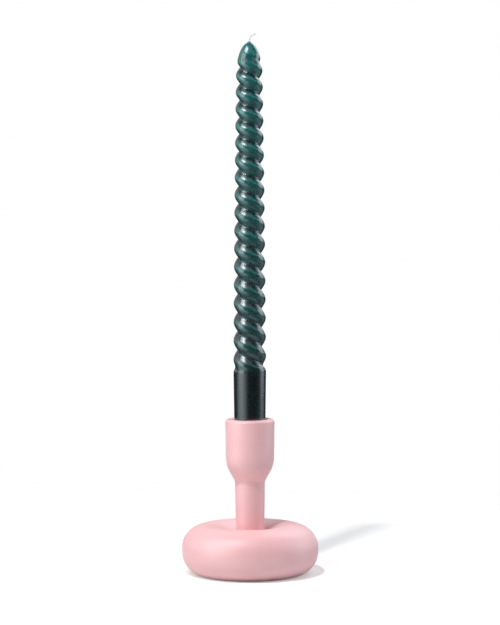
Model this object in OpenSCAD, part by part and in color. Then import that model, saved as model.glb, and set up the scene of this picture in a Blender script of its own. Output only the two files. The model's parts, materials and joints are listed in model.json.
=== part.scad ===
// Candle holder with a ring base, a short stem and a thick cup, and the twisted taper candle that
// stands in the cup. The ring is a hollow shell, weighted inside and closed by a pan with a felt
// foot, and one rod clamps the cup, the stem and the pan together.
// Millimetres, +Z up. The origin is on the table, on the axis of the stem.

/* [Ring base] */
// Width of the ring's oval section
ring_w = 38.2; // [28:0.2:60]
// Height of the oval's upper half
crown_h = 17.1; // [16:0.1:24]
// Height of the oval's lower half
side_h = 18.3; // [16:0.1:24]
// Height that the flat foot takes off the bottom of the oval
ring_flat = 0.95; // [0.6:0.05:2]
// Fullness of the oval's lower half, where 2 is a plain oval
ring_full = 2.3; // [2:0.05:2.6]
// Fullness of the oval's upper half
crown_full = 2.2; // [2:0.05:2.6]
// Thickness of the ring's sheet
shell_t = 1.5; // [0.8:0.1:2]
// Gap between the ring's edge and the table
shell_lift = 0.3; // [0.1:0.05:0.5]

/* [Pan, ballast and felt] */
// Thickness of the pan's sheet
pan_t = 1.5; // [1:0.1:2]
// Height of the pan above the inner corner of the ring's edge
pan_seat = 0.3; // [0.1:0.05:1]
// Width of the hub's flat top outside the neck collar
hub_ledge = 0.6; // [0.2:0.1:2]
// Width that the hub's wall spreads on its way down
hub_flare = 2.6; // [0.5:0.1:5]
// Height of the ballast ring
ballast_h = 12; // [4:0.5:16]
// Gap round the ballast ring
ballast_gap = 0.4; // [0.1:0.05:1]
// Gap between the felt and the ring's edge
felt_gap = 0.3; // [0.1:0.05:1]

/* [Stem] */
// Outer diameter of the stem tube in the ring
stem_d = 19.8; // [19:0.1:23]
// Outer diameter of the stem tube under the cup
stem_top_d = 20.9; // [19:0.1:24]
// Wall of the stem tube
stem_wall = 2; // [1.2:0.1:2.6]
// Length of the stem tube
stem_len = 49; // [36:0.2:120]
// Height of the bush in the foot of the tube
bush_h = 5; // [3:0.5:10]

/* [Cup] */
// Height of the cup from the stem to the lip
cup_h = 48.6; // [44:0.1:62]
// Outer diameter at the lip
cup_d = 34.8; // [31:0.1:42]
// Diameter lost from the lip down to the shoulder
cup_taper = 0.8; // [0:0.1:3]
// Height of the shoulder's corner above the stem
shoulder_h = 16.2; // [12:0.1:22]
// Height of the straight neck above the stem
neck_h = 4.6; // [3:0.1:6]
// Radius that rounds the shoulder
shoulder_r = 22; // [2:0.5:24]
// Radius of the soft crease over the stem
crease_r = 8.5; // [1:0.5:9]
// Radius of the lip's outer edge
lip_out_r = 2.2; // [0.5:0.1:2.6]
// Radius of the lip's inner edge
lip_in_r = 1.3; // [0.3:0.1:1.8]
// Diameter of the socket's mouth
socket_d = 23.7; // [23:0.1:25]
// Depth of the socket
socket_depth = 24; // [12:0.5:26]
// Length of the spigot that enters the stem tube
spigot_h = 8; // [4:0.5:12]

/* [Rod and fasteners] */
// Diameter of the tie rod
rod_d = 6; // [4:0.5:8]
// Depth of the tapped hole in the cup
tap_depth = 14; // [8:0.5:16]
// Gap between the rod's lower end and the table
rod_lift = 1; // [0.5:0.1:1.5]
// Length of rod that shows under the nut
rod_tail = 0.8; // [0.4:0.1:1.2]
// Distance across the nut's flats
nut_af = 10; // [9.5:0.5:13]
// Height of the nut
nut_h = 5; // [3:0.5:6]
// Outer diameter of the flat washer
washer_d = 12; // [10:0.5:16]
// Thickness of the flat washer
washer_t = 1.6; // [1:0.1:2]
// Outer diameter of the spring washer
lock_d = 11; // [9.5:0.5:14]
// Thickness of the spring washer
lock_t = 1.6; // [1:0.1:2]

/* [Candle] */
// Length of the wax, without the wick
candle_len = 287.7; // [200:0.1:320]
// Diameter at the candle's foot
foot_d = 21.4; // [18:0.1:21.5]
// Height at which the twist starts
foot_h = 60.4; // [30:0.1:90]
// Diameter over the ridges where the twist starts
crest_d = 22.9; // [20:0.1:25]
// Diameter over the ridges, carried on to the tip
crest_tip_d = 17.9; // [12:0.1:22]
// How far the taper swells at its middle
taper_bow = 0.4; // [0:0.05:1]
// Depth of the grooves between the strands
groove = 3.4; // [0.5:0.1:4]
// Height from ridge to ridge where the twist starts
pitch_foot = 13.5; // [9:0.05:24]
// Height from ridge to ridge at the tip
pitch_tip = 11.3; // [8:0.05:20]
// Height over which the grooves run out at the foot
foot_fade = 7.2; // [2:0.1:20]
// Height over which the grooves run out at the tip
tip_fade = 11.5; // [4:0.1:20]
// Height of the rounded tip
dome_h = 22; // [8:0.5:30]
// Diameter of the wick
wick_d = 1.3; // [0.8:0.1:3]
// Height of wick that stands straight out of the wax
wick_rise = 0.7; // [0.2:0.1:4]
// Radius of the wick's bend
wick_bend_r = 5; // [3:0.5:12]
// Length of the wick's straight end
wick_end = 2; // [0.5:0.1:6]

/* [Hidden] */

// Clearances: a push fit, a hole that a rod passes, a blind hole's end and the candle's seat
fit_gap = 0.05;
pass_gap = 0.2;
end_gap = 0.5;
seat_gap = 0.35;
// Length by which a cut runs past what it cuts
over = 1;
// Small chamfer on turned and cut ends
chamfer = 0.4;
// Width of the spring washer's slit, and the slant of its cut
slit_w = 1.2;
slit_slant = 25;
// Angle through which the wick bends
wick_angle = 65;
// Angle of the first ridge where the twist starts
twist_start = 90;
// Rise of the twist across the candle, as a share of the distance, at the foot and at the tip
lean_foot_share = 0.1;
lean_tip_share = 0.2;
// Fullness of the rounded tip, and the share of the diameter that stays flat round the wick
dome_power = 0.52;
tip_flat_share = 0.16;
// Share of the rounded tip in which the grooves are already gone
tip_smooth_share = 0.36;
// Sides of the candle's rings, the height from ring to ring, and the rings in its rounded tip
candle_sides = 24;
ring_step = 1.8;
dome_rings = 11;
// Sides of the wick, and the rings in its bend
wick_sides = 16;
bend_rings = 8;
// Largest turn between two points of an outline, in degrees
arc_step = 6;
$fn = 96;

// Fasteners stack up from the rod's lower end to the hub
nut_z = rod_lift + rod_tail;
lock_z = nut_z + nut_h;
washer_z = lock_z + lock_t;
hub_z = washer_z + washer_t + pan_t;
stem_z = hub_z + stem_len;
lip_z = stem_z + cup_h;
seat_z = lip_z - socket_depth;
rod_top = stem_z - spigot_h + tap_depth - end_gap;

// The ring's section is an oval round this centre
ring_z = side_h - ring_flat;
neck_r = stem_d / 2 + fit_gap;
ring_r = neck_r + ring_w / 2;
edge_angle = oval_angle(shell_lift, 0);
edge_in = oval(edge_angle, shell_t);
pan_z = edge_in.y + pan_seat;
hub_r = neck_r + shell_t + hub_ledge;
hub_foot_r = hub_r + hub_flare;

// A point on the oval, or on the oval drawn in by an inset
function full(x, fullness) = sign(x) * abs(x) ^ (2 / fullness);
function oval(angle, inset) =
    let (fullness = angle < 0 ? ring_full : crown_full, half_h = angle < 0 ? side_h : crown_h)
    [ring_r + (ring_w / 2 - inset) * full(cos(angle), fullness),
     ring_z + (half_h - inset) * full(sin(angle), fullness)];
// The angle at which the lower outer quarter of that oval stands at a height
function oval_angle(z, inset) = -asin(((ring_z - z) / (side_h - inset)) ^ (ring_full / 2));
function oval_arc(from, to, inset) =
    let (n = ceil(abs(to - from) / arc_step)) [for (i = [0 : n]) oval(from + (to - from) * i / n, inset)];

// Arc that rounds corner b between a and c; a radius too large for its sides is cut down to fit
function unit(v) = v / norm(v);
function corner(a, b, c, r) =
    let (
        u = unit(a - b),
        v = unit(c - b),
        half = acos(u * v) / 2,
        reach = min(r / tan(half), norm(a - b) / 2, norm(c - b) / 2),
        radius = reach * tan(half),
        mid = b + unit(u + v) * radius / sin(half),
        start = b + u * reach - mid,
        end = b + v * reach - mid,
        sweep = atan2(start.x * end.y - start.y * end.x, start * end),
        n = ceil(abs(sweep) / arc_step)
    )
    [for (i = [0 : n]) let (t = sweep * i / n)
        mid + [start.x * cos(t) - start.y * sin(t), start.x * sin(t) + start.y * cos(t)]];
// Outline whose points are [r, z] or [r, z, radius of the corner]
function rounded(path) =
    let (n = len(path), xy = [for (p = path) [p.x, p.y]])
    [for (i = [0 : n - 1])
        each len(path[i]) < 3 ? [xy[i]] : corner(xy[(i + n - 1) % n], xy[i], xy[(i + 1) % n], path[i][2])];

// Turned part: a round solid from its outline
module turned(path) {
    rotate_extrude() polygon(rounded(path));
}

// Ring shell: neck collar, funnel, crown and side in one sheet, turned in under the pan
module base_shell() {
    color("#EBC2C1") rotate_extrude()
        polygon(concat(
            [[neck_r, hub_z]],
            oval_arc(180, edge_angle, 0),
            oval_arc(edge_angle, 180, shell_t),
            [[neck_r + shell_t, hub_z]]));
}

// Pressed pan: it lies on the ring's turned-in edge and rises to the hub under the stem
module bottom_pan() {
    pan_r = oval(oval_angle(pan_z, shell_t), shell_t).x - fit_gap;
    hole_r = rod_d / 2 + pass_gap;
    color("#9EA1A4") turned([
        [hole_r, hub_z],
        [hub_r, hub_z, chamfer],
        [hub_foot_r, pan_z + pan_t, pan_t],
        [pan_r, pan_z + pan_t],
        [pan_r, pan_z],
        [hub_foot_r - pan_t, pan_z, pan_t],
        [hub_r - pan_t, hub_z - pan_t, chamfer],
        [hole_r, hub_z - pan_t]]);
}

// Cast weight: it stands on the pan and follows the inside of the ring
module ballast_ring() {
    inner_r = hub_foot_r + ballast_gap;
    color("#4B4A49") rotate_extrude() intersection() {
        polygon(oval_arc(-180, 180 - arc_step, shell_t + ballast_gap));
        translate([inner_r, pan_z + pan_t]) square([ring_w, ballast_h]);
    }
}

// Felt foot, glued under the pan
module felt_pad() {
    color("#3A3533") turned([
        [hub_foot_r - pan_t, 0],
        [edge_in.x - felt_gap, 0],
        [edge_in.x - felt_gap, pan_z],
        [hub_foot_r - pan_t, pan_z]]);
}

// Tube from the hub to the cup: straight in the ring's neck, then a little wider towards the cup
module stem_tube() {
    bore_r = stem_d / 2 - stem_wall;
    color("#EBC2C1") turned([
        [bore_r, hub_z],
        [stem_d / 2 - chamfer, hub_z],
        [stem_d / 2, hub_z + chamfer],
        [stem_d / 2, ring_z],
        [stem_top_d / 2, stem_z],
        [bore_r, stem_z]]);
}

// Bush in the foot of the tube, which keeps the tube and the rod in line
module centring_bush() {
    bush_r = stem_d / 2 - stem_wall - fit_gap;
    hole_r = rod_d / 2 + pass_gap;
    color("#B9A45F") turned([
        [hole_r, hub_z],
        [bush_r, hub_z],
        [bush_r, hub_z + bush_h, chamfer],
        [hole_r, hub_z + bush_h, chamfer]]);
}

// Turned cup: socket with a tapered wall, rounded lip and shoulder, spigot and tapped hole
module cup() {
    lip_r = cup_d / 2;
    neck_top = stem_z + neck_h;
    shoulder_z = stem_z + shoulder_h;
    spigot_z = stem_z - spigot_h;
    spigot_r = stem_d / 2 - stem_wall - fit_gap;
    tap_r = rod_d / 2 + fit_gap;
    color("#EBC2C1") difference() {
        turned([
            [0, spigot_z],
            [spigot_r, spigot_z, chamfer],
            [spigot_r, stem_z],
            [stem_top_d / 2, stem_z],
            [stem_top_d / 2, neck_top, crease_r],
            [lip_r - cup_taper / 2, shoulder_z, shoulder_r],
            [lip_r, lip_z, lip_out_r],
            [socket_d / 2, lip_z, lip_in_r],
            [foot_d / 2 + seat_gap, seat_z],
            [0, seat_z]]);
        translate([0, 0, spigot_z - over]) cylinder(r = tap_r, h = over + tap_depth);
    }
}

// Rod that draws the cup down on the stem and the pan
module tie_rod() {
    rod_r = rod_d / 2;
    color("#B9BDC1") turned([
        [0, rod_lift],
        [rod_r - chamfer, rod_lift],
        [rod_r, rod_lift + chamfer],
        [rod_r, rod_top - chamfer],
        [rod_r - chamfer, rod_top],
        [0, rod_top]]);
}

// Flat ring with a hole for the rod
module washer(d, t, z) {
    hole_r = rod_d / 2 + pass_gap;
    turned([
        [hole_r, z],
        [d / 2, z, chamfer],
        [d / 2, z + t, chamfer],
        [hole_r, z + t]]);
}

module flat_washer() {
    color("#B9BDC1") washer(washer_d, washer_t, washer_z);
}

module lock_washer() {
    color("#8D9196") difference() {
        washer(lock_d, lock_t, lock_z);
        translate([0, -slit_w / 2, lock_z + lock_t / 2]) rotate([slit_slant, 0, 0])
            translate([0, 0, -lock_t]) cube([lock_d, slit_w, 2 * lock_t]);
    }
}

// Hexagon nut with the usual cone on both ends of its corners
module rod_nut() {
    corner_r = nut_af / sqrt(3);
    color("#B9BDC1") difference() {
        intersection() {
            translate([0, 0, nut_z]) cylinder(r = corner_r, h = nut_h, $fn = 6);
            turned([
                [0, nut_z],
                [nut_af / 2, nut_z],
                [corner_r + fit_gap, nut_z + chamfer],
                [corner_r + fit_gap, nut_z + nut_h - chamfer],
                [nut_af / 2, nut_z + nut_h],
                [0, nut_z + nut_h]]);
        }
        translate([0, 0, nut_z - over]) cylinder(r = rod_d / 2 + fit_gap, h = nut_h + 2 * over);
    }
}

// The candle's shape. Heights h run from its foot, and twist_len is the twisted part.
twist_len = candle_len - foot_h;
// Smooth step from 0 to 1 between two heights
function ease(h, from, to) = let (t = min(1, max(0, (h - from) / (to - from)))) t * t * (3 - 2 * t);
// Radius over the ridges: a cone at the foot, then a taper that swells a little, then the tip
function crest(h) =
    let (t = (h - foot_h) / twist_len)
    h < foot_h
        ? foot_d / 2 + (crest_d - foot_d) / 2 * h / foot_h
        : crest_d / 2 + (crest_tip_d - crest_d) / 2 * t + 4 * taper_bow * t * (1 - t);
function dome(h) =
    let (t = min(1, (candle_len - h) / dome_h)) max(tip_flat_share, (1 - (1 - t) ^ 2) ^ dome_power);
// Depth of the grooves, which run out at the foot and at the tip
function groove_at(h) =
    let (tip = candle_len - dome_h * tip_smooth_share)
    groove * ease(h, foot_h - foot_fade / 2, foot_h + foot_fade / 2) * (1 - ease(h, tip - tip_fade, tip));
// Turn of the strands at a height, for a pitch that changes steadily: one ridge is half a turn
function turn(h) =
    let (gain = (pitch_tip - pitch_foot) / twist_len, pitch = pitch_foot + gain * (h - foot_h))
    twist_start + (gain == 0 ? 180 * (h - foot_h) / pitch : 180 / gain * ln(pitch / pitch_foot));
function lean(h) = lean_foot_share + (lean_tip_share - lean_foot_share) * (h - foot_h) / twist_len;
// Radius of two strands side by side: two circles that overlap, whose ends reach the crest and
// whose crossings lie in the groove
function strands(angle, tall, notch) =
    let (
        low = (tall - notch) ^ 2 / tall,
        strand = (tall + low) / 2,
        apart = (tall - low) / 2
    )
    apart * abs(cos(angle)) + sqrt(strand ^ 2 - (apart * sin(angle)) ^ 2);
function candle_r(angle, h) =
    let (tall = crest(h), level = h - lean(h) * tall * cos(angle))
    dome(h) * strands(angle + turn(level), tall, groove_at(h));
candle_steps = ceil((candle_len - foot_h - dome_h + foot_fade) / ring_step);
// Heights of the rings: the plain foot, the twist, and the tip, whose rings draw together
candle_levels = concat(
    [0],
    [for (i = [0 : candle_steps - 1])
        foot_h - foot_fade + (candle_len - dome_h - foot_h + foot_fade) * i / candle_steps],
    [for (i = [0 : dome_rings]) candle_len - dome_h * (1 - i / dome_rings) ^ 2]);

// Solid whose skin runs through rings of points, closed flat at both ends
module lofted(rings) {
    n = len(rings[0]);
    last = len(rings) - 1;
    sides = [for (i = [0 : last - 1]) for (k = [0 : n - 1])
        let (a = i * n + k, b = i * n + (k + 1) % n) each [[a, a + n, b + n], [a, b + n, b]]];
    bottom = [for (k = [0 : n - 1]) k];
    top = [for (k = [n - 1 : -1 : 0]) last * n + k];
    polyhedron([for (ring = rings) each ring], concat(sides, [bottom, top]), convexity = 10);
}

// Twisted wax with the channel that the wick fills
module candle_body() {
    color("#12503F") translate([0, 0, seat_z]) difference() {
        lofted([for (h = candle_levels) [for (k = [0 : candle_sides - 1])
            let (angle = 360 * k / candle_sides, r = candle_r(angle, h))
            [r * cos(angle), r * sin(angle), h]]]);
        translate([0, 0, -over]) cylinder(d = wick_d + 2 * fit_gap, h = candle_len + 2 * over, $fn = 24);
    }
}

// Wick: straight through the wax, then bent over to the right. Each ring of it has a place and a tilt.
module candle_wick() {
    bend_z = candle_len + wick_rise;
    bend = [for (i = [0 : bend_rings])
        let (t = wick_angle * i / bend_rings)
        [wick_bend_r * (1 - cos(t)), bend_z + wick_bend_r * sin(t), t]];
    tip = bend[bend_rings] + [wick_end * sin(wick_angle), wick_end * cos(wick_angle), 0];
    color("#EDEDE6") translate([0, 0, seat_z])
        lofted([for (place = concat([[0, 0, 0]], bend, [tip])) [for (k = [0 : wick_sides - 1])
            let (turn = 360 * k / wick_sides, out = wick_d / 2 * cos(turn), side = wick_d / 2 * sin(turn))
            [place.x + out * cos(place[2]), side, place.y - out * sin(place[2])]]]);
}

base_shell();
bottom_pan();
ballast_ring();
felt_pad();
stem_tube();
centring_bush();
cup();
tie_rod();
flat_washer();
lock_washer();
rod_nut();
candle_body();
candle_wick();
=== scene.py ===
# %% [markdown]
# # A twisted candle in a pink metal holder
#
# The holder is made of thin metal parts under one pink powder coat: a hollow ring that stands on
# felt, a short tube and a turned cup. A deep green candle, twisted like a rope, stands in the cup.
# The CAD model settles every place and size. It is loaded first and stays as it is, and each part
# that shows is then made again with a finer surface, because the CAD mesh has flat facets that a
# glossy finish would show.

import json
import math

import bmesh
import bpy
import numpy as np
from mathutils import Matrix, Vector


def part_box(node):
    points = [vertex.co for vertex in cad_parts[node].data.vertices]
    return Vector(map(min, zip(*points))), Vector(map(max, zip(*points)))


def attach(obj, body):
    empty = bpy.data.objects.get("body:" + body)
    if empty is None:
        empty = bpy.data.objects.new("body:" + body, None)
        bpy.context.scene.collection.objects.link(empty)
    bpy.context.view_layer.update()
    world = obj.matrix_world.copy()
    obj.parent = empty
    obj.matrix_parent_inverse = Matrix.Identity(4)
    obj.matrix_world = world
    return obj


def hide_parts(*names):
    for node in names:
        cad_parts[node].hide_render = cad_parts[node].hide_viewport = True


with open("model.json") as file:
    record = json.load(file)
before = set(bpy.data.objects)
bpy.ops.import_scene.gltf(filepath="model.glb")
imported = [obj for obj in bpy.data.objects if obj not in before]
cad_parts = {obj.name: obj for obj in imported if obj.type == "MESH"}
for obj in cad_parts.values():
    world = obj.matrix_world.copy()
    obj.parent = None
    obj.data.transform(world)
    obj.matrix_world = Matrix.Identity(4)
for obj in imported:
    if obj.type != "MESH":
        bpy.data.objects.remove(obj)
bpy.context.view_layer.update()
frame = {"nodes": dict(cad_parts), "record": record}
MM = 0.001

# %% [markdown]
# ## The camera
#
# The candle's sides look almost parallel, but the top of the ring shows as an oval and the socket's
# mouth is seen from a little above. So the camera is far away, with a long lens, and stands about
# two thirds up the candle. Its distance, height and tilt come from fitting the outlines of the ring,
# the cup and the candle. The other way, moving the camera by eye, can't tell a long lens that is far
# away from a shorter one that is near. The picture is higher than wide, so the sensor's width lies
# along its height.

# %% Place the camera
camera_distance = 1613 * MM
camera_height = 275.3 * MM
camera_tilt = math.radians(3.24)
camera_roll = math.radians(-0.1)
camera_turn = math.radians(-0.008)
lens_mm = 132.7
sensor_mm = 36

camera = bpy.data.objects.new("camera", bpy.data.cameras.new("camera"))
bpy.context.collection.objects.link(camera)
camera.data.sensor_width = sensor_mm
camera.data.lens = lens_mm
upright = Matrix.Rotation(math.pi / 2 - camera_tilt, 4, "X")
camera.matrix_world = (
    Matrix.Translation((0, -camera_distance, camera_height))
    @ Matrix.Rotation(camera_turn, 4, "Z")
    @ upright
    @ Matrix.Rotation(camera_roll, 4, "Z")
)
bpy.context.scene.camera = camera
print("camera at", [round(x, 3) for x in camera.location], "lens", lens_mm, "mm")

# %% [markdown]
# ## Shared effects, as node groups
#
# Real finishes are never even: paint has soft clouds of lighter and darker colour, a touched surface
# shines more in some places, and every skin has a grain. Each effect is wanted in several materials,
# so each is a node group with named inputs, built once and placed with other numbers in each. The
# patterns use object coordinates, which are metres here, so a grain of half a millimetre is half a
# millimetre on every piece and needs no UV map.

# %% Helpers that start a node group
def socket_kind(label):
    return "NodeSocketColor" if "Colour" in label else "NodeSocketFloat"


def new_group(name, inputs, outputs):
    """An empty shader group; gives it, the outputs of its start and the inputs of its end."""
    group = bpy.data.node_groups.new(name, "ShaderNodeTree")
    for label, value in inputs.items():
        socket = group.interface.new_socket(label, in_out="INPUT", socket_type=socket_kind(label))
        socket.default_value = value
    for label in outputs:
        group.interface.new_socket(label, in_out="OUTPUT", socket_type=socket_kind(label))
    start, end = group.nodes.new("NodeGroupInput"), group.nodes.new("NodeGroupOutput")
    print("group:", name)
    return group, start.outputs, end.inputs


def add(tree, kind, **settings):
    """A node of a kind, with its settings."""
    node = tree.nodes.new("ShaderNode" + kind)
    for label, value in settings.items():
        setattr(node, label, value)
    return node


def put(tree, value, socket):
    """Gives an input its value: the output of a node is linked, a number or colour is set."""
    if isinstance(value, bpy.types.NodeSocket):
        tree.links.new(value, socket)
    else:
        socket.default_value = value


def calculate(tree, operation, first, second=0.0):
    """A Math node on outputs or numbers; gives its result."""
    node = add(tree, "Math", operation=operation)
    put(tree, first, node.inputs[0])
    put(tree, second, node.inputs[1])
    return node.outputs[0]


def multiply(tree, first, *others):
    """The product of outputs or numbers."""
    for other in others:
        first = calculate(tree, "MULTIPLY", first, other)
    return first


# %% Helpers for masks, colours and places
def map_range(tree, value, start, end, low=0.0, high=1.0, kind="LINEAR"):
    """Takes the range from start to end to the one from low to high, and stops at its ends."""
    node = add(tree, "MapRange", interpolation_type=kind)
    labels = ("Value", "From Min", "From Max", "To Min", "To Max")
    for label, source in zip(labels, (value, start, end, low, high)):
        put(tree, source, node.inputs[label])
    return node.outputs["Result"]


def smooth_step(tree, value, start, end):
    """0 below the start, 1 above the end, and smooth between them."""
    return map_range(tree, value, start, end, kind="SMOOTHSTEP")


def mix_in(tree, mask, low, high):
    """The low value where the mask is 0, the high one where it is 1."""
    return map_range(tree, mask, 0.0, 1.0, low, high)


def mix_colours(tree, mask, first, second):
    """The first colour where the mask is 0, the second where it is 1."""
    node = add(tree, "Mix", data_type="RGBA")
    put(tree, mask, node.inputs["Factor"])
    put(tree, first, node.inputs[6])
    put(tree, second, node.inputs[7])
    return node.outputs[2]


def split(tree, vector):
    """The outputs X, Y and Z of a place or direction."""
    node = add(tree, "SeparateXYZ")
    tree.links.new(vector, node.inputs[0])
    return node.outputs


def axis_distance(tree, place):
    """Distance from the Z axis of a place that has been split."""
    across = calculate(tree, "POWER", place["X"], 2.0)
    deep = calculate(tree, "POWER", place["Y"], 2.0)
    return calculate(tree, "SQRT", calculate(tree, "ADD", across, deep))


def add_noise(tree, size, detail, distortion=0.0, kind="FBM"):
    """Noise with blots about `size` metres wide."""
    noise = add(tree, "TexNoise", noise_type=kind)
    noise.inputs["Detail"].default_value = detail
    put(tree, distortion, noise.inputs["Distortion"])
    tree.links.new(add(tree, "TexCoord").outputs["Object"], noise.inputs["Vector"])
    tree.links.new(calculate(tree, "DIVIDE", 1.0, size), noise.inputs["Scale"])
    return noise.outputs["Fac"]


# %% Cloudy colour
blot_edge = (0.35, 0.7)


def make_cloudy_colour():
    """Soft blots of a second colour over the main one."""
    group, given, result = new_group(
        "Cloudy colour",
        {"Main Colour": (1, 1, 1, 1), "Blot Colour": (0.5, 0.5, 0.5, 1), "Blot Size": 0.01, "Amount": 0.5},
        ["Colour"],
    )
    blots = smooth_step(group, add_noise(group, given["Blot Size"], detail=3), *blot_edge)
    mask = multiply(group, blots, given["Amount"])
    mixed = mix_colours(group, mask, given["Main Colour"], given["Blot Colour"])
    group.links.new(mixed, result["Colour"])
    return group


cloudy_colour = make_cloudy_colour()

# %% Touched gloss
noise_middle = 0.5


def make_touched_gloss():
    """Roughness that wanders round its middle value, as on a surface that hands have touched."""
    group, given, result = new_group(
        "Touched gloss",
        {"Roughness": 0.4, "Wander": 0.1, "Mark Size": 0.012},
        ["Roughness"],
    )
    marks = add_noise(group, given["Mark Size"], detail=4)
    swing = multiply(group, calculate(group, "SUBTRACT", marks, noise_middle), given["Wander"])
    group.links.new(calculate(group, "ADD", given["Roughness"], swing), result["Roughness"])
    return group


touched_gloss = make_touched_gloss()


# %% Grain
def make_grain():
    """Height of a fine grain on top of a coarser one."""
    group, given, result = new_group(
        "Grain",
        {"Coarse Size": 0.001, "Fine Size": 0.0002, "Fine Share": 0.3},
        ["Height"],
    )
    coarse = add_noise(group, given["Coarse Size"], detail=1)
    fine = add_noise(group, given["Fine Size"], detail=1)
    small = multiply(group, fine, given["Fine Share"])
    group.links.new(calculate(group, "ADD", coarse, small), result["Height"])
    return group


grain = make_grain()

# %% Turning marks
mark_height = 0.5
blur_size = 2 * MM


def make_turning_marks():
    """Height of the fine rings that a lathe tool or a polishing belt leaves round the Z axis."""
    group, given, result = new_group(
        "Turning marks",
        {"Spacing": 0.0002, "Blur": 0.4},
        ["Height"],
    )
    place = split(group, add(group, "TexCoord").outputs["Object"])
    travel = calculate(group, "ADD", axis_distance(group, place), place["Z"])
    turns = calculate(group, "DIVIDE", travel, given["Spacing"])
    rings = calculate(group, "SINE", multiply(group, turns, 2 * math.pi))
    soft = multiply(group, add_noise(group, blur_size, detail=2), given["Blur"])
    height = calculate(group, "ADD", multiply(group, rings, mark_height), soft)
    group.links.new(height, result["Height"])
    return group


turning_marks = make_turning_marks()

# %% Fibres
top_fibres = (0.45, 0.9)


def make_fibres():
    """Thin wandering fibres: their height, and a mask that is 1 on the fibres that lie on top."""
    group, given, result = new_group(
        "Fibres",
        {"Fibre Size": 0.0003, "Tangle": 2.0},
        ["Height", "Mask"],
    )
    tangle, ridged = given["Tangle"], "RIDGED_MULTIFRACTAL"
    noise = add_noise(group, given["Fibre Size"], detail=4, distortion=tangle, kind=ridged)
    group.links.new(noise, result["Height"])
    group.links.new(smooth_step(group, noise, *top_fibres), result["Mask"])
    return group


fibres = make_fibres()


# %% Helpers for the materials
def place_group(tree, group, **values):
    """The group in a material, with its named inputs set; underscores stand for spaces."""
    node = add(tree, "Group", node_tree=group)
    for label, value in values.items():
        put(tree, value, node.inputs[label.replace("_", " ")])
    return node


def new_finish(name, **constants):
    """A material whose Principled shader has these constants; gives material, tree and shader."""
    finish = bpy.data.materials.new(name)
    finish.use_nodes = True
    shader = finish.node_tree.nodes["Principled BSDF"]
    for label, value in constants.items():
        shader.inputs[label.replace("_", " ")].default_value = value
    print("finish:", name)
    return finish, finish.node_tree, shader


def cloudy(tree, main, blot, size, amount):
    """The colour of the cloudy colour group."""
    values = {"Main_Colour": main, "Blot_Colour": blot, "Blot_Size": size, "Amount": amount}
    return place_group(tree, cloudy_colour, **values).outputs["Colour"]


def add_gloss(tree, shader, rough, wander, size):
    """Touched gloss as the shader's roughness."""
    gloss = place_group(tree, touched_gloss, Roughness=rough, Wander=wander, Mark_Size=size)
    tree.links.new(gloss.outputs["Roughness"], shader.inputs["Roughness"])


def add_bump(tree, shader, relief, depth, **values):
    """Lets a group's height bend the shader's normal, as relief of a depth in metres."""
    node = place_group(tree, relief, **values)
    bump = add(tree, "Bump")
    bump.inputs["Distance"].default_value = depth
    tree.links.new(node.outputs["Height"], bump.inputs["Height"])
    tree.links.new(bump.outputs["Normal"], shader.inputs["Normal"])
    return node


def colour_of(red, green, blue):
    """The linear colour of a screen colour from 0 to 255, by the sRGB curve."""
    channels = [channel / 255 for channel in (red, green, blue)]
    curve = [c / 12.92 if c <= 0.04045 else ((c + 0.055) / 1.055) ** 2.4 for c in channels]
    return (*curve, 1.0)


# %% [markdown]
# ## Pink powder coat
#
# Powder coat is sprayed on as dry powder and melted in an oven into one even skin, a tenth of a
# millimetre thick. It stays matt, with a faint orange peel: a swell about a millimetre wide and a few
# thousandths deep, and a finer grain on it. A smooth shader alone makes the broad highlights too
# clean, so the orange peel is a bump, and the colour and the gloss wander by a few per cent. Where
# light falls, a pale veil lies over the pink, while the shadows are a deeper pink. A whiter colour
# would pale the shadows too, so the veil is a strong, rough gloss with some sheen over a fuller pink.

# %% Make the powder coat
def make_powder_coat():
    finish, tree, shader = new_finish("Pink powder coat", IOR=2.6, Sheen_Weight=0.35, Sheen_Roughness=0.4)
    main, blot = colour_of(245, 187, 191), colour_of(240, 181, 185)
    tree.links.new(cloudy(tree, main, blot, size=14 * MM, amount=0.6), shader.inputs["Base Color"])
    add_gloss(tree, shader, rough=0.5, wander=0.1, size=9 * MM)
    peel = {"Coarse_Size": 1.1 * MM, "Fine_Size": 0.22 * MM, "Fine_Share": 0.25}
    add_bump(tree, shader, grain, depth=0.006 * MM, **peel)
    return finish


powder_coat = make_powder_coat()

# %% [markdown]
# ## Green wax
#
# The candle is cast or drawn in wax that is dyed right through, and then dipped in a clear lacquer.
# So the shader has a clear coat over a rougher base, and both throw back much light, the base with a
# slight green tint. The dye is never quite even, which shows as bluish clouds, and the lacquer
# follows shallow ripples that the wax has from its mould. A mask mixes two colours of dye: the dark
# one paints shade on the upward sides of the grooves, where the strand above shades them, and
# colours the foot nearly black, and the bright green fills the ridges, more of it towards the tip.

# %% Painted shade in the grooves of the wax
green_from = 145 * MM
green_to = 366 * MM
ridge_foot_r = 11.5 * MM
ridge_tip_r = 9.1 * MM
groove_share = 0.79
groove_edge = 0.2
foot_share = 0.35
up_slope = 0.5
tip_green = 10 * MM
twist_edge = 6 * MM


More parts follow.
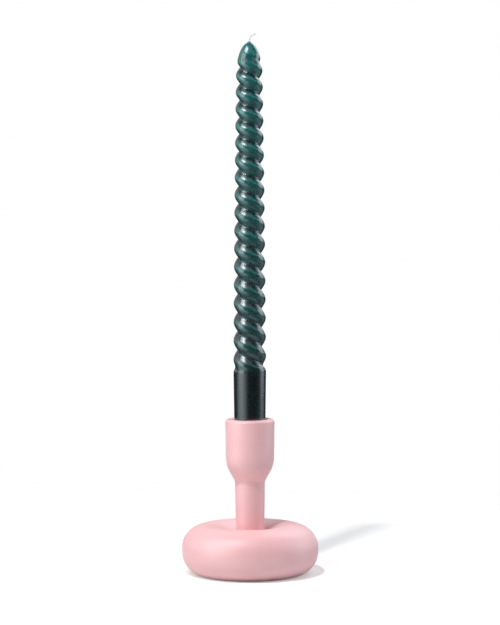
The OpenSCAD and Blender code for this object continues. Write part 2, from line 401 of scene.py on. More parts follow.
def wax_shade_mask(tree):
    """Mask for the dyes: 0 paints shade on the upward groove sides and dyes the foot, 1 is the ridges'
    green.
    """
    ground = add(tree, "TexCoord").outputs
    place = split(tree, ground["Object"])
    ridge = map_range(tree, place["Z"], green_from, green_to, ridge_foot_r, ridge_tip_r)
    reach = calculate(tree, "DIVIDE", axis_distance(tree, place), ridge)
    high_part = smooth_step(tree, reach, groove_share, groove_share + groove_edge)
    facing_up = smooth_step(tree, split(tree, ground["Normal"])["Z"], 0.0, up_slope)
    # Painted shade: the upward sides of the grooves, which the strand above shades, get the dark dye.
    painted_shade = multiply(tree, calculate(tree, "SUBTRACT", 1.0, high_part), facing_up)
    tip = smooth_step(tree, place["Z"], green_to - tip_green, green_to)
    crest = calculate(tree, "MAXIMUM", calculate(tree, "SUBTRACT", 1.0, painted_shade), tip)
    twist = smooth_step(tree, place["Z"], green_from - twist_edge, green_from + twist_edge)
    share = map_range(tree, place["Z"], green_from, green_to, foot_share)
    return multiply(tree, crest, twist, share)


# %% Make the wax
def make_green_wax():
    finish, tree, shader = new_finish(
        "Green lacquered wax",
        IOR=2.1,
        Specular_Tint=(0.82, 0.96, 1.0, 1.0),
        Coat_Weight=0.8,
        Coat_Roughness=0.22,
        Coat_IOR=1.6,
    )
    shade_mask = wax_shade_mask(tree)
    # The dark dye is painted shade in the grooves and the foot's colour; the bright one is the ridges'
    # green.
    main = mix_colours(tree, shade_mask, colour_of(0, 20, 24), colour_of(0, 94, 92))
    blot = mix_colours(tree, shade_mask, colour_of(0, 18, 25), colour_of(0, 82, 88))
    tree.links.new(cloudy(tree, main, blot, size=7 * MM, amount=0.35), shader.inputs["Base Color"])
    add_gloss(tree, shader, rough=0.27, wander=0.1, size=5 * MM)
    ripple = {"Coarse_Size": 3.5 * MM, "Fine_Size": 0.8 * MM, "Fine_Share": 0.2}
    add_bump(tree, shader, grain, depth=0.015 * MM, **ripple)
    return finish


green_wax = make_green_wax()


# %% [markdown]
# ## Cotton and felt
#
# Both are made of fibres, so both use the same group. The wick is bleached cotton that has soaked up
# a little wax: its fibres lie close and it has a slight shine. The felt under the base is dark wool,
# pressed into a sheet, with lighter fibres on top and no shine at all apart from the pale bloom that
# fine hairs give at a low angle, which is the shader's sheen.

# %% Make the wick's cotton
def make_wick_cotton():
    finish, tree, shader = new_finish("Waxed wick cotton", Roughness=0.62, Coat_Weight=0.15)
    yarn = add_bump(tree, shader, fibres, depth=0.03 * MM, Fibre_Size=0.25 * MM, Tangle=0.6)
    deep, top = colour_of(216, 226, 222), colour_of(232, 238, 235)
    tree.links.new(mix_colours(tree, yarn.outputs["Mask"], deep, top), shader.inputs["Base Color"])
    return finish


wick_cotton = make_wick_cotton()


# %% Make the felt
def make_foot_felt():
    sheen = {"Sheen_Weight": 0.35, "Sheen_Roughness": 0.5}
    finish, tree, shader = new_finish("Dark wool felt", Roughness=0.95, **sheen)
    wool = add_bump(tree, shader, fibres, depth=0.15 * MM, Fibre_Size=0.5 * MM, Tangle=2.5)
    main, blot = colour_of(72, 66, 64), colour_of(56, 52, 52)
    ground = cloudy(tree, main, blot, size=4 * MM, amount=0.9)
    colour = mix_colours(tree, wool.outputs["Mask"], ground, colour_of(104, 96, 92))
    tree.links.new(colour, shader.inputs["Base Color"])
    return finish


foot_felt = make_foot_felt()

# %% [markdown]
# ## Bare metals
#
# Seven metal parts are not painted. They sit under or inside the base, where only someone who turns
# the holder over sees them. The pan, rod, nut and flat washer are zinc-plated, a soft grey with
# faint yellow clouds. The spring washer is darker. The bush is turned brass, whose fine rings show,
# and the weight is iron as it comes from a sand mould, rough and dull. All are one kind of shader
# with other numbers, so one function makes them.

# %% Make the four metals
def make_metal(name, main, blot, size, rough, wander, relief, depth, **values):
    """A bare metal with clouds in its colour and gloss, and a relief of its own."""
    finish, tree, shader = new_finish(name, Metallic=1.0)
    colour = cloudy(tree, colour_of(*main), colour_of(*blot), size, amount=0.8)
    tree.links.new(colour, shader.inputs["Base Color"])
    add_gloss(tree, shader, rough, wander, size)
    add_bump(tree, shader, relief, depth, **values)
    return finish


zinc_plate = make_metal(
    "Zinc plate", (206, 210, 214), (208, 204, 188), size=5 * MM, rough=0.34, wander=0.25,
    relief=turning_marks, depth=0.004 * MM, Spacing=0.35 * MM, Blur=1.2,
)
spring_steel = make_metal(
    "Spring steel", (150, 152, 158), (120, 122, 134), size=3 * MM, rough=0.42, wander=0.2,
    relief=grain, depth=0.01 * MM, Coarse_Size=0.4 * MM, Fine_Size=0.1 * MM, Fine_Share=0.4,
)
turned_brass = make_metal(
    "Turned brass", (214, 186, 116), (196, 160, 92), size=4 * MM, rough=0.28, wander=0.15,
    relief=turning_marks, depth=0.006 * MM, Spacing=0.25 * MM, Blur=0.3,
)
cast_iron = make_metal(
    "Cast iron", (96, 94, 92), (110, 84, 66), size=6 * MM, rough=0.7, wander=0.3,
    relief=grain, depth=0.12 * MM, Coarse_Size=1.2 * MM, Fine_Size=0.4 * MM, Fine_Share=0.7,
)

# %% [markdown]
# ## Round parts, from an outline
#
# The ring, the tube, the cup, the pan, the felt and the washer are round, so one outline that runs
# round the axis gives each of them. Blender's Screw or Spin tool does this too, but a grid of points
# worked out in code has exact radii, and the same function then closes the threads and the candle. An
# outline is a list of corners, radius first and height second, and a third number rounds the corner
# with an arc: real edges are never sharp, and the small round edges catch the light.

# %% Round the corners of an outline
arc_step = math.radians(5)


def round_corner(before, corner, after, radius):
    """Points of the arc that rounds a corner; too large a radius is cut down to fit its sides."""
    sides = [np.linalg.norm(end - corner) for end in (before, after)]
    to_before, to_after = (before - corner) / sides[0], (after - corner) / sides[1]
    half = math.acos(np.clip(to_before @ to_after, -1, 1)) / 2
    reach = min(radius / math.tan(half), *(side / 2 for side in sides))
    radius = reach * math.tan(half)
    middle_way = (to_before + to_after) / np.linalg.norm(to_before + to_after)
    centre = corner + middle_way * radius / math.sin(half)
    start = corner + to_before * reach - centre
    end = corner + to_after * reach - centre
    sweep = math.atan2(start[0] * end[1] - start[1] * end[0], start @ end)
    turns = np.linspace(0, sweep, math.ceil(abs(sweep) / arc_step) + 1)
    across = np.array([-start[1], start[0]])
    return [centre + start * math.cos(t) + across * math.sin(t) for t in turns]


def round_outline(corners):
    """The outline through corners (radius, height) or (radius, height, rounding)."""
    flat = [np.array(corner[:2], float) for corner in corners]
    points = []
    for i, corner in enumerate(corners):
        if len(corner) == 2:
            points.append(flat[i])
        else:
            points += round_corner(flat[i - 1], flat[i], flat[(i + 1) % len(flat)], corner[2])
    return np.array(points)


# %% Make a mesh from a grid of points
weld_gap = 0.0001 * MM


def grid_mesh(name, grid, close_rows=True, close_columns=True, sharp_degrees=50):
    """A smooth mesh through points[row][column]; rows and columns may run round to the first."""
    rows, columns = grid.shape[:2]
    i = np.arange(rows if close_rows else rows - 1)[:, None]
    k = np.arange(columns if close_columns else columns - 1)[None, :]
    here, right = i * columns + k, i * columns + (k + 1) % columns
    above, over = (i + 1) % rows * columns + k, (i + 1) % rows * columns + (k + 1) % columns
    faces = np.stack([here, right, over, above], axis=-1).reshape(-1, 4)
    mesh = bpy.data.meshes.new(name)
    mesh.from_pydata(grid.reshape(-1, 3).tolist(), [], faces.tolist())
    skin = bmesh.new()
    skin.from_mesh(mesh)
    bmesh.ops.remove_doubles(skin, verts=skin.verts, dist=weld_gap)
    rims = [edge for edge in skin.edges if edge.is_boundary]
    if rims:
        bmesh.ops.holes_fill(skin, edges=rims)
    bmesh.ops.recalc_face_normals(skin, faces=skin.faces)
    skin.to_mesh(mesh)
    skin.free()
    mesh.shade_smooth()
    mesh.set_sharp_from_angle(angle=math.radians(sharp_degrees))
    return mesh


# %% Turn an outline round the axis
turned_sides = 240


def full_turn(sides):
    """The angle of each side of something round."""
    return np.linspace(0, 2 * math.pi, sides, endpoint=False)


def around_axis(radius, turns, height):
    """Points from radii, turns and heights, each of them a number, a row or a grid."""
    radius, turns, height = np.broadcast_arrays(radius, turns, height)
    return np.stack([radius * np.cos(turns), radius * np.sin(turns), height], axis=-1)


def turned_mesh(name, corners, closed=True):
    """The mesh of a round part; an outline that starts and ends on the axis is not closed."""
    outline = round_outline(corners)
    grid = around_axis(outline[:, 0, None], full_turn(turned_sides), outline[:, 1, None])
    return grid_mesh(name, grid, close_rows=closed)


# %% Put a piece in the place of its CAD part
def place_piece(name, mesh, finish, node):
    """An object that rides with a CAD node's body and stands for it, in the finish of its slot."""
    piece = bpy.data.objects.new(name, mesh)
    bpy.context.collection.objects.link(piece)
    mesh.materials.append(finish)
    bodies = frame["record"]["behaviour"]["bodies"]
    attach(piece, next(body for body, nodes in bodies.items() if node in nodes))
    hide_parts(node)
    low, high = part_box(node)
    points = np.array([vertex.co for vertex in mesh.vertices])
    off = max(np.abs(points.min(0) - low).max(), np.abs(points.max(0) - high).max())
    print(f"{name}: {len(mesh.polygons)} faces, box {off / MM:.2f} mm from the CAD part's")
    return piece


# %% [markdown]
# ## The ring
#
# The base is spun from one sheet of metal: a collar round the stem, a funnel, a full round crown, a
# side, and an edge that turns in under the pan. Its section is an oval that is a little fuller in its
# lower half, because the outline in the picture leaves the floor more steeply than a plain oval
# would. A torus has a round section, so the oval is worked out point by point, once for the outside
# and once, drawn in by the sheet's thickness, for the inside. The cut edge is rounded.

# %% Measure the ring from the CAD part
shell_low, shell_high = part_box("base_shell")
shell_t = 1.5 * MM
ring_width = 38.2 * MM
crown_height = 17.1 * MM
side_height = 18.3 * MM
ring_full = 2.3
crown_full = 2.2
ring_steps = 90
ring_z = shell_high.z - crown_height
ring_r = shell_high.x - ring_width / 2
neck_r = ring_r - ring_width / 2
print("ring's section stands round", round(ring_r / MM, 2), round(ring_z / MM, 2), "mm")


# %% The oval of its section
def ring_point(angle, inset):
    """A point of the oval, or of the oval drawn in by an inset."""
    power = 2 / (ring_full if angle < 0 else crown_full)
    across, up = math.cos(angle), math.sin(angle)
    across = math.copysign(abs(across) ** power, across)
    up = math.copysign(abs(up) ** power, up)
    half_height = (side_height if angle < 0 else crown_height) - inset
    return (ring_r + (ring_width / 2 - inset) * across, ring_z + half_height * up)


def ring_angle(height, inset):
    """The angle at which the lower outer quarter of the oval is at a height."""
    share = (ring_z - height) / (side_height - inset)
    return -math.asin(share ** (ring_full / 2))


def ring_arc(start, end, inset):
    return [ring_point(angle, inset) for angle in np.linspace(start, end, ring_steps + 1)]


# %% Make the ring
def make_ring():
    hub_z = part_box("stem_tube")[0].z
    edge = ring_angle(shell_low.z, 0)
    edge_round = 0.5 * MM
    outside = ring_arc(math.pi, edge, 0)
    inside = ring_arc(edge, math.pi, shell_t)
    outside[-1] += (edge_round,)
    inside[0] += (edge_round,)
    collar = [(neck_r + shell_t, hub_z), (neck_r, hub_z)]
    return turned_mesh("ring_base", outside + inside + collar)


place_piece("ring_base", make_ring(), powder_coat, "base_shell")

# %% [markdown]
# ## The stem and the cup
#
# The stem is a length of tube. It stands in the ring's collar and carries the cup, which is turned
# from solid bar: a thick wall round the socket, a soft round shoulder, and a neck that ends in a
# spigot inside the tube. The two meet in a fine joint line under the cup, which the powder coat
# nearly fills, so both edges there have a very small round. The socket narrows downwards, so that the
# candle's foot wedges in it.

# %% Make the stem
stem_low, stem_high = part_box("stem_tube")
stem_wall = 2 * MM
stem_r = 9.9 * MM
stem_top_r = stem_high.x
joint_round = 0.12 * MM
tube_round = 0.4 * MM


def make_stem():
    bore_r = stem_r - stem_wall
    return turned_mesh("stem", [
        (bore_r, stem_low.z, joint_round),
        (stem_r, stem_low.z, tube_round),
        (stem_r, ring_z),
        (stem_top_r, stem_high.z, joint_round),
        (bore_r, stem_high.z, joint_round),
    ])


place_piece("stem", make_stem(), powder_coat, "stem_tube")

# %% Make the cup
cup_low, cup_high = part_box("cup")
candle_low, candle_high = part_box("candle_body")
lip_out_round = 2.2 * MM
lip_in_round = 1.3 * MM
shoulder_round = 22 * MM
crease_round = 8.5 * MM
neck_height = 4.6 * MM
shoulder_height = 16.2 * MM
cup_taper = 0.8 * MM
socket_mouth_r = 11.85 * MM
socket_floor_r = 10.85 * MM
tap_r = 3.05 * MM
tap_depth = 14 * MM
spigot_play = 0.05 * MM
socket_round = 0.3 * MM


def make_cup():
    stem_z = stem_high.z
    spigot_r = stem_r - stem_wall - spigot_play
    outline = [
        (0, cup_low.z + tap_depth),
        (tap_r, cup_low.z + tap_depth),
        (tap_r, cup_low.z, joint_round),
        (spigot_r, cup_low.z, tube_round),
        (spigot_r, stem_z),
        (stem_top_r, stem_z, joint_round),
        (stem_top_r, stem_z + neck_height, crease_round),
        (cup_high.x - cup_taper / 2, stem_z + shoulder_height, shoulder_round),
        (cup_high.x, cup_high.z, lip_out_round),
        (socket_mouth_r, cup_high.z, lip_in_round),
        (socket_floor_r, candle_low.z, socket_round),
        (0, candle_low.z),
    ]
    return turned_mesh("cup", outline, closed=False)


place_piece("candle_cup", make_cup(), powder_coat, "cup")

# %% [markdown]
# ## The underside
#
# A pressed pan closes the ring from below and carries a ring of felt. The pan rises to a hub in the
# middle, where the rod comes through with its two washers and its nut. The pan and the felt are
# outlines again. The felt's edge was cut with a die and is a little ragged, so its points are moved
# by a small steady noise, which is the same on each run.

# %% Make the pan
pan_low, pan_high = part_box("bottom_pan")
felt_low, felt_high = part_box("felt_pad")
pan_t = 1.5 * MM
hole_r = 3.2 * MM
hub_lip = 0.6 * MM
hub_slope = 2.6 * MM
hub_r = neck_r + shell_t + hub_lip
hub_foot_r = hub_r + hub_slope


def make_pan():
    bend = 1.5 * MM
    press = 0.4 * MM
    cut = 0.15 * MM
    return turned_mesh("base_pan", [
        (hole_r, pan_high.z, cut),
        (hub_r, pan_high.z, press),
        (hub_foot_r, pan_low.z + pan_t, bend),
        (pan_high.x, pan_low.z + pan_t, cut),
        (pan_high.x, pan_low.z, cut),
        (hub_foot_r - pan_t, pan_low.z, bend),
        (hub_r - pan_t, pan_high.z - pan_t, press),
        (hole_r, pan_high.z - pan_t, cut),
    ])


place_piece("base_pan", make_pan(), zinc_plate, "bottom_pan")


# %% Make the felt foot
felt_rows = 14
felt_columns = 40
cut_bevel = 0.1 * MM
cut_depth = 0.2 * MM
fuzz = 0.12 * MM
wave = 2.3 * MM


def felt_outline():
    """The felt's outline, with many points that can be moved."""
    inner, outer, low, high = hub_foot_r - pan_t, felt_high.x, felt_low.z, felt_high.z
    cut = outer - cut_bevel
    rise = np.linspace((cut, low), (cut, high), felt_rows + 1)
    top = np.linspace((outer, high), (inner, high), felt_columns + 1)[1:-1]
    fall = np.linspace((inner, high), (inner, low), felt_rows + 1)
    under = np.linspace((inner, low), (outer, low), felt_columns + 1)[1:-1]
    return np.concatenate([rise, top, fall, under])


def make_felt():
    mesh = turned_mesh("felt_foot", felt_outline())
    for vertex in mesh.vertices:
        x, y, z = vertex.co / wave
        swell = math.sin(x + 3 * math.sin(y)) * math.sin(y + z)
        radius = math.hypot(vertex.co.x, vertex.co.y)
        if vertex.co.z < felt_high.z - weld_gap and radius > felt_high.x - cut_depth:
            vertex.co.xy *= 1 - fuzz * (0.5 + 0.5 * swell) / radius
    return mesh


place_piece("felt_foot", make_felt(), foot_felt, "felt_pad")

# %% [markdown]
# ## The threaded rod and its fasteners
#
# The rod is an M6 thread of one millimetre pitch. A thread is a groove that climbs by one pitch each
# turn, so the rod's radius depends on the height minus the turn, and a grid of rings gives it: eight
# rings to a pitch are enough for round light on it. The nut's hole has the same thread. Its six
# sides are a radius that depends on the angle, and a cone takes off its corners at both ends. The
# spring washer is cut through at a slant, so its grid stops at the cut and is closed there. The iron
# weight and the brass bush are hidden inside, so they keep their CAD meshes.

# %% Thread and rod
thread_pitch = 1 * MM
thread_depth = 0.55 * MM
thread_sides = 48
thread_rings = 8
rod_low, rod_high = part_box("tie_rod")
thread_turns = full_turn(thread_sides)


def thread_radius(height, crest_r):
    """Radius of the thread at a height, for each of its sides, with flats on crest and root."""
    phase = (height / thread_pitch - thread_turns / (2 * math.pi)) % 1
    flank = np.clip(4 * np.abs(phase - 0.5) - 0.5, 0, 1)
    return crest_r - thread_depth * flank


def thread_heights(low, high):
    """A height for each ring of a thread."""
    steps = round((high - low) / thread_pitch * thread_rings)
    return np.linspace(low, high, steps + 1)


def make_rod():
    lead_in = 0.7 * MM
    rings = []
    for height in thread_heights(rod_low.z, rod_high.z):
        cone = rod_high.x - lead_in + min(lead_in, height - rod_low.z, rod_high.z - height)
        radius = np.minimum(thread_radius(height, rod_high.x), cone)
        rings.append(around_axis(radius, thread_turns, height))
    return grid_mesh("threaded_rod", np.array(rings), close_rows=False)


place_piece("threaded_rod", make_rod(), zinc_plate, "tie_rod")


# %% Nut
nut_low, nut_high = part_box("rod_nut")
nut_flat_r = 5 * MM
nut_play = 0.08 * MM
countersink_depth = 0.4 * MM
chamfer_rings = 6
chamfer_height = 0.5 * MM
chamfer_share = 0.98
chamfer_slope = 1.9


def make_nut():
    corner = math.pi / 3
    side_r = nut_flat_r / np.cos(thread_turns % corner - corner / 2)
    bore_r = rod_high.x + nut_play
    chamfer = np.linspace(0, chamfer_height, chamfer_rings)
    rings = []
    for height in (*(nut_low.z + chamfer), *(nut_high.z - chamfer[::-1])):
        drop = min(height - nut_low.z, nut_high.z - height, chamfer_height)
        cone = nut_flat_r * chamfer_share + drop * chamfer_slope
        rings.append(around_axis(np.minimum(side_r, cone), thread_turns, height))
    for height in thread_heights(nut_low.z, nut_high.z)[::-1]:
        end = min(height - nut_low.z, nut_high.z - height)
        countersink = bore_r + max(0, countersink_depth - end)
        radius = np.maximum(thread_radius(height, bore_r), countersink)
        rings.append(around_axis(radius, thread_turns, height))
    return grid_mesh("hex_nut", np.array(rings), sharp_degrees=24)


place_piece("hex_nut", make_nut(), zinc_plate, "rod_nut")


# %% Washers
washer_low, washer_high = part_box("flat_washer")
lock_low, lock_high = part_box("lock_washer")
washer_round = 0.35 * MM
lock_columns = 150


def washer_outline(low, high):
    return [
        (hole_r, low.z, washer_round / 2),
        (high.x, low.z, washer_round),
        (high.x, high.z, washer_round),
        (hole_r, high.z, washer_round / 2),
    ]


def make_lock_washer():
    slit = 1.2 * MM
    slant = math.tan(math.radians(25))
    middle_z = (lock_low.z + lock_high.z) / 2
    grid = []
    for radius, height in round_outline(washer_outline(lock_low, lock_high)):
        lean = (height - middle_z) * slant
        start = math.asin((slit / 2 - lean) / radius)
        end = 2 * math.pi - math.asin((slit / 2 + lean) / radius)
        grid.append(around_axis(radius, np.linspace(start, end, lock_columns), height))
    return grid_mesh("spring_washer", np.array(grid), close_columns=False, sharp_degrees=35)


flat_washer_mesh = turned_mesh("plain_washer", washer_outline(washer_low, washer_high))
place_piece("plain_washer", flat_washer_mesh, zinc_plate, "flat_washer")
place_piece("spring_washer", make_lock_washer(), spring_steel, "lock_washer")

# %% Finish the two CAD parts that stay
for node, finish in (("ballast_ring", cast_iron), ("centring_bush", turned_brass)):
    kept = frame["nodes"][node]
    kept.data.materials.clear()
    kept.data.materials.append(finish)
    print(node, "keeps its CAD mesh, in", finish.name)

# %% [markdown]
# ## The twisted candle
#
# The candle is a round taper whose upper part is twisted from two strands. Across it, its section is
# two circles that overlap: the far ends reach the crest and the two crossings lie in the groove. The
# section turns as it climbs, by half a turn for each ridge that the outline shows, and the ridges
# come closer together towards the tip. A Screw modifier could twist a section, but not with a pitch
# that changes, a groove that runs out at both ends and a rounded tip. So the radius is a function of
# the angle and the height, and the mesh is a fine grid of it.

# %% The taper and the tip
candle_len = candle_high.z - candle_low.z
foot_r = 10.7 * MM
foot_h = 60.4 * MM
crest_r = 11.45 * MM
crest_tip_r = 8.95 * MM
taper_bow = 0.4 * MM
dome_h = 22 * MM
dome_power = 0.52
tip_flat = 0.16
twist_len = candle_len - foot_h


def ease(height, start, end):
    """Smooth step from 0 to 1 between two heights."""
    share = np.clip((height - start) / (end - start), 0, 1)
    return share * share * (3 - 2 * share)


def crest_radius(height):
    """Radius over the ridges: a cone at the foot, then a taper that swells a little."""
    share = (height - foot_h) / twist_len
    foot = foot_r + (crest_r - foot_r) * height / foot_h
    taper = crest_r + (crest_tip_r - crest_r) * share + 4 * taper_bow * share * (1 - share)
    return np.where(height < foot_h, foot, taper)


def dome_share(height):
    """How much of the radius is left in the rounded tip."""
    share = np.clip((candle_len - height) / dome_h, 0, 1)
    return np.maximum(tip_flat, (1 - (1 - share) ** 2) ** dome_power)


# %% The twist and the grooves
groove_depth = 3.4 * MM
foot_fade = 7.2 * MM
tip_fade = 11.5 * MM
tip_smooth_share = 0.36
pitch_foot = 13.5 * MM
pitch_tip = 11.3 * MM
twist_start = math.pi / 2
lean_foot = 0.1
lean_tip = 0.2


def groove_at(height):
    tip = candle_len - dome_h * tip_smooth_share
    start = ease(height, foot_h - foot_fade / 2, foot_h + foot_fade / 2)
    return groove_depth * start * (1 - ease(height, tip - tip_fade, tip))


def strand_turn(height):
    """Turn of the strands at a height, for a pitch that changes steadily."""
    gain = (pitch_tip - pitch_foot) / twist_len
    pitch = pitch_foot + gain * (height - foot_h)
    return twist_start + math.pi / gain * np.log(pitch / pitch_foot)


def two_strands(angle, tall, notch):
    """Radius of two circles that overlap, reaching `tall` at their ends."""
    low = (tall - notch) ** 2 / tall
    strand, apart = (tall + low) / 2, (tall - low) / 2
    return apart * np.abs(np.cos(angle)) + np.sqrt(strand**2 - (apart * np.sin(angle)) ** 2)


def candle_radius(angle, height):
    tall = crest_radius(height)
    lean = lean_foot + (lean_tip - lean_foot) * (height - foot_h) / twist_len
    level = height - lean * tall * np.cos(angle)
    return dome_share(height) * two_strands(angle + strand_turn(level), tall, groove_at(height))


# %% Make the candle
candle_turns = full_turn(160)
ring_gap = 0.5 * MM
foot_rings = 24
edge_rings = 6
foot_round = 0.5 * MM
dome_rings = 60
hole_rings = 40
wick_hole_r = 0.7 * MM


def make_candle():
    plain = np.linspace(foot_round, foot_h - foot_fade, foot_rings)
    twist = np.arange(foot_h - foot_fade + ring_gap, candle_len - dome_h, ring_gap)
    dome = candle_len - dome_h * (1 - np.linspace(0, 1, dome_rings)) ** 2
    heights = np.concatenate([plain, twist, dome])[:, None]
    radius = candle_radius(candle_turns, heights)
    corner = np.linspace(0, math.pi / 2, edge_rings, endpoint=False)[:, None]
    foot_radius = candle_radius(candle_turns, 0 * corner) - foot_round * (1 - np.sin(corner))
    radius = np.concatenate([foot_radius, radius])
    heights = np.concatenate([foot_round * (1 - np.cos(corner)), heights])
    outside = around_axis(radius, candle_turns, candle_low.z + heights)
    hole_heights = np.linspace(candle_high.z, candle_low.z, hole_rings)[:, None]
    hole = around_axis(wick_hole_r, candle_turns, hole_heights)
    return grid_mesh("twisted_wax", np.concatenate([outside, hole]), sharp_degrees=60)


place_piece("twisted_wax", make_candle(), green_wax, "candle_body")

# %% [markdown]
# ## The wick
#
# A candle's wick is a plait of cotton that runs down through the wax. It leaves the tip straight and
# bends over to the right. Three strands are enough for the plait: each swings from side to side,
# a third of a swing after the last, and goes over and under twice in that time. The path comes
# first, as points with the wick's direction, and each strand is then a thin tube round its own
# swinging line. An oval core fills the middle, as wax does in a real one, so that no gap is left.

# %% The wick's path
wick_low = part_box("candle_wick")[0]
wick_rise = 0.7 * MM
wick_bend_r = 5 * MM
wick_end = 2 * MM
wick_angle = math.radians(65)


def wick_place(distance):
    """Place and direction of the wick at a distance from its lower end."""
    straight = candle_len + wick_rise
    bent = np.clip((distance - straight) / wick_bend_r, 0, wick_angle)
    past = np.maximum(0, distance - straight - wick_bend_r * wick_angle)
    x = wick_bend_r * (1 - np.cos(bent)) + past * np.sin(bent)
    z = np.minimum(distance, straight) + wick_bend_r * np.sin(bent) + past * np.cos(bent)
    return np.stack([x, 0 * x, wick_low.z + z], axis=-1), bent


# %% Plait the strands
plait_length = 2.6 * MM
strand_r = 0.29 * MM
plait_half_width = 0.34 * MM
plait_half_depth = 0.14 * MM
core_half_width = 0.5 * MM
core_half_depth = 0.34 * MM
strand_sides = 8
strand_count = 3
rings_per_plait = 14


def wick_tube(half_width, half_depth, swing=0.0, dip=0.0, number=0):
    """An oval tube along the wick, or along the line of a strand that swings about it."""
    length = candle_len + wick_rise + wick_bend_r * wick_angle + wick_end
    distance = np.linspace(0, length, round(length / plait_length * rings_per_plait))
    middle, bent = wick_place(distance)
    side = np.stack([np.cos(bent), 0 * bent, -np.sin(bent)], axis=-1)
    phase = 2 * math.pi * (distance / plait_length + number / strand_count)
    middle = middle + swing * np.sin(phase)[:, None] * side
    middle[:, 1] += dip * np.sin(2 * phase)
    turns = full_turn(strand_sides)
    across = half_width * np.cos(turns)[:, None] * side[:, None, :]
    around = across + half_depth * np.sin(turns)[:, None] * np.array([0, 1, 0])
    return grid_mesh("strand", middle[:, None, :] + around, close_rows=False)


# %% Make the wick
def make_wick():
    meshes = [wick_tube(core_half_width, core_half_depth)]
    for number in range(strand_count):
        meshes.append(wick_tube(strand_r, strand_r, plait_half_width, plait_half_depth, number))
    joined = bmesh.new()
    for mesh in meshes:
        joined.from_mesh(mesh)
        bpy.data.meshes.remove(mesh)
    mesh = bpy.data.meshes.new("braided_wick")
    joined.to_mesh(mesh)
    joined.free()
    mesh.shade_smooth()
    mesh.set_sharp_from_angle(angle=math.radians(60))
    return mesh


place_piece("braided_wick", make_wick(), wick_cotton, "candle_wick")

# %% [markdown]
# ## The floor
#
# The floor is white paper, so bright that only the shadows show on it. More light would wash out the
# pink, so camera rays also see a glow in the paper. Near the holder it is weak, so that the shadows
# stay, though a little stronger right at the ring, where it paints light into the ring's contact shadow.
# Further away it takes over, and the paper runs into the white background without an edge.
#
# The wax mirrors the paper too, and in the picture only its parts on the side of each softbox are
# bright, or the green would turn grey. So mirror rays see dark paper with two pools of light, and
# paler paper close to the ring, which keeps its underside light. Neither the glow nor the pools are
# sampled as lamps, because that would only add noise.

# %% A pool of light on the paper
pool_edge = (0.64, 0.94)
pool_rise = (0.08, 0.4)
pool_fade_share = 0.5


def vector_math(tree, operation, place):
    """A Vector Math node on a place."""
    node = add(tree, "VectorMath", operation=operation)
    tree.links.new(place, node.inputs[0])
    return node


def light_pool(tree, place, reach, turn_degrees, strength, end):
    """The bright paper on the side of a softbox: a wedge of the floor, brighter further out."""
    turn = math.radians(turn_degrees)
    away = vector_math(tree, "DOT_PRODUCT", place)
    away.inputs[1].default_value = (math.sin(turn), -math.cos(turn), 0)
    wedge = smooth_step(tree, calculate(tree, "DIVIDE", away.outputs["Value"], reach), *pool_edge)
    rise = smooth_step(tree, reach, *pool_rise)
    fall = mix_in(tree, smooth_step(tree, reach, end * pool_fade_share, end), 1.0, 0.0)
    return multiply(tree, wedge, rise, fall, strength)


# %% Make the paper
paper_shade = 0.88
near_glow = 0.12
glow_reach = (0.3, 0.5)
close_glow = 0.29
close_reach = (0.042, 0.07)
mirrored_shade = 0.05
close_mirrored_shade = 0.36
mirrored_reach = (0.07, 0.14)
light_pools = ((-62, 0.7, 3.0), (95, 0.3, 0.8))


def make_paper():
    finish, tree, shader = new_finish("White paper", Roughness=0.9, Specular_IOR_Level=0.0)
    path = add(tree, "LightPath").outputs
    seen = calculate(tree, "MAXIMUM", path["Is Camera Ray"], path["Is Transmission Ray"])
    mirrored = path["Is Glossy Ray"]
    place = add(tree, "NewGeometry").outputs["Position"]
    reach = vector_math(tree, "LENGTH", place).outputs["Value"]
    far = smooth_step(tree, reach, *glow_reach)
    # Right at the ring the glow is stronger: painted light in the ring's contact shadow.
    close = mix_in(tree, smooth_step(tree, reach, *close_reach), close_glow, near_glow)
    glow = multiply(tree, mix_in(tree, far, close, 1.0), seen)
    pools = [light_pool(tree, place, reach, *pool) for pool in light_pools]
    bright = multiply(tree, calculate(tree, "ADD", *pools), mirrored)
    seen_shade = mix_in(tree, multiply(tree, far, seen), paper_shade, 0.0)
    mirror_far = smooth_step(tree, reach, *mirrored_reach)
    mirror_shade = mix_in(tree, mirror_far, close_mirrored_shade, mirrored_shade)
    shade = mix_in(tree, mirrored, seen_shade, mirror_shade)
    grey = add(tree, "CombineColor")
    for channel in grey.inputs:
        tree.links.new(shade, channel)
    tree.links.new(grey.outputs[0], shader.inputs["Base Color"])
    shader.inputs["Emission Color"].default_value = (1, 1, 1, 1)
    tree.links.new(calculate(tree, "ADD", glow, bright), shader.inputs["Emission Strength"])
    if hasattr(finish, "cycles"):
        finish.cycles.emission_sampling = "NONE"
    return finish


# %% Lay the floor
floor_half = 30
floor_drop = 0.05 * MM
floor_mesh = bpy.data.meshes.new("paper_floor")
sides = ((-1, -1), (1, -1), (1, 1), (-1, 1))
corners = [(x * floor_half, y * floor_half, -floor_drop) for x, y in sides]
floor_mesh.from_pydata(corners, [], [(0, 1, 2, 3)])
floor_mesh.materials.append(make_paper())
floor = bpy.data.objects.new("paper_floor", floor_mesh)
bpy.context.collection.objects.link(floor)
print("floor", 2 * floor_half, "m wide")

# %% [markdown]
# ## The light
#
# The candle's shadow runs back and to the right, with a fairly sharp edge, so the main lamp is in
# front, to the left, high and small. A lamp so small would be a hard white dot in the wax, so mirror
# rays don't see it, and two softboxes close to it give the broader light on each strand. The pale
# band on the left of every strand is a large softbox beside the holder. Panels on the right, bluish
# as from a window, keep that side from going black, and a softbox behind lights the top of the ring.
# Each lamp's place was read from its light on the strands, and its strength from a picture with that
# lamp alone.
#
# The background is white for the camera. To mirror rays the room is pale behind the holder and dim in
# front of it, as a studio is, and that dark front keeps the candle's green deep.

# %% Place the lamps
aim = Vector((0, 0, 150 * MM))
window_blue = (0.87, 0.93, 1.0)


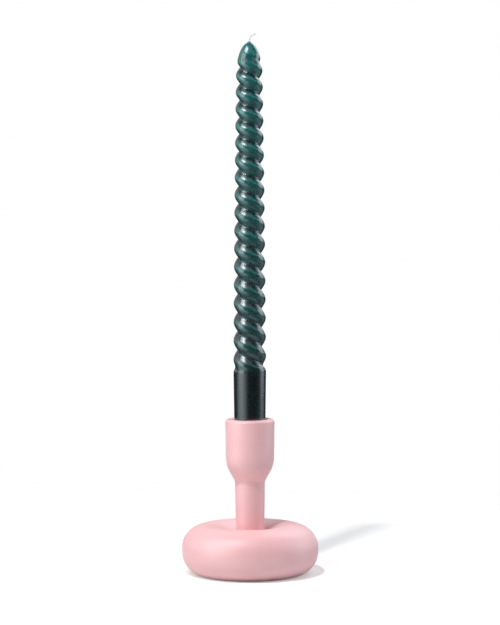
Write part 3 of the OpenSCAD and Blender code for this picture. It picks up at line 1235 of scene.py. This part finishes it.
def add_softbox(name, turn_degrees, rise_degrees, distance, width, height, watts, colour=(1, 1, 1)):
    """An area lamp that looks at the object; its turn counts from the camera's side, right is plus."""
    lamp = bpy.data.lights.new(name, "AREA")
    lamp.shape = "RECTANGLE"
    lamp.size = width
    lamp.size_y = height
    lamp.energy = watts
    lamp.color = colour
    turn, rise = math.radians(turn_degrees), math.radians(rise_degrees)
    away = Vector((math.sin(turn) * math.cos(rise), -math.cos(turn) * math.cos(rise), math.sin(rise)))
    holder = bpy.data.objects.new(name, lamp)
    holder.location = aim + away * distance
    holder.rotation_euler = (-away).to_track_quat("-Z", "Y").to_euler()
    bpy.context.collection.objects.link(holder)
    print(name, "at", [round(x, 2) for x in holder.location], watts, "W")
    return holder


key = add_softbox("key_lamp", -23.7, 61, 1.3, 0.07, 0.07, 9.3)
key.visible_glossy = False
add_softbox("high_softbox", -38, 58, 1.3, 0.3, 0.3, 1.8)
add_softbox("left_softbox", -64, 18, 1.2, 0.9, 1.0, 5.0)
add_softbox("left_back_panel", -100, 26, 1.2, 0.7, 1.0, 1.2)
add_softbox("left_top_softbox", -57, 57, 1.3, 0.5, 0.4, 3.1)
add_softbox("front_top_softbox", 10, 64, 1.3, 1.1, 0.8, 0.8)
add_softbox("back_softbox", 170, 50, 1.3, 1.4, 0.8, 3.3)
add_softbox("right_panel", 100, 14, 1.3, 0.9, 1.0, 4.3, window_blue)
add_softbox("right_back_panel", 140, 35, 1.3, 0.8, 0.8, 2.4, window_blue)
add_softbox("right_front_panel", 55, 35, 1.3, 0.6, 0.6, 0.4)

# %% Set up the room
room_light = 0.14
room_front = 0.02
room_back = 0.4
back_edge = (0.1, 0.8)


def make_room():
    world = bpy.context.scene.world or bpy.data.worlds.new("studio")
    bpy.context.scene.world = world
    world.use_nodes = True
    tree = world.node_tree
    tree.nodes.clear()
    path = add(tree, "LightPath").outputs
    way = split(tree, add(tree, "TexCoord").outputs["Generated"])
    behind = map_range(tree, way["Y"], *back_edge, room_front, room_back, kind="SMOOTHSTEP")
    unseen = mix_in(tree, path["Is Glossy Ray"], room_light, behind)
    seen = calculate(tree, "MAXIMUM", path["Is Camera Ray"], path["Is Transmission Ray"])
    light = add(tree, "Background")
    light.inputs["Color"].default_value = (1, 1, 1, 1)
    tree.links.new(mix_in(tree, seen, unseen, 1.0), light.inputs["Strength"])
    tree.links.new(light.outputs[0], add(tree, "OutputWorld").inputs["Surface"])
    if hasattr(world, "cycles"):
        world.cycles.sampling_method = "NONE"


make_room()
bpy.context.scene.view_settings.view_transform = "Standard"
print("room light", room_light)
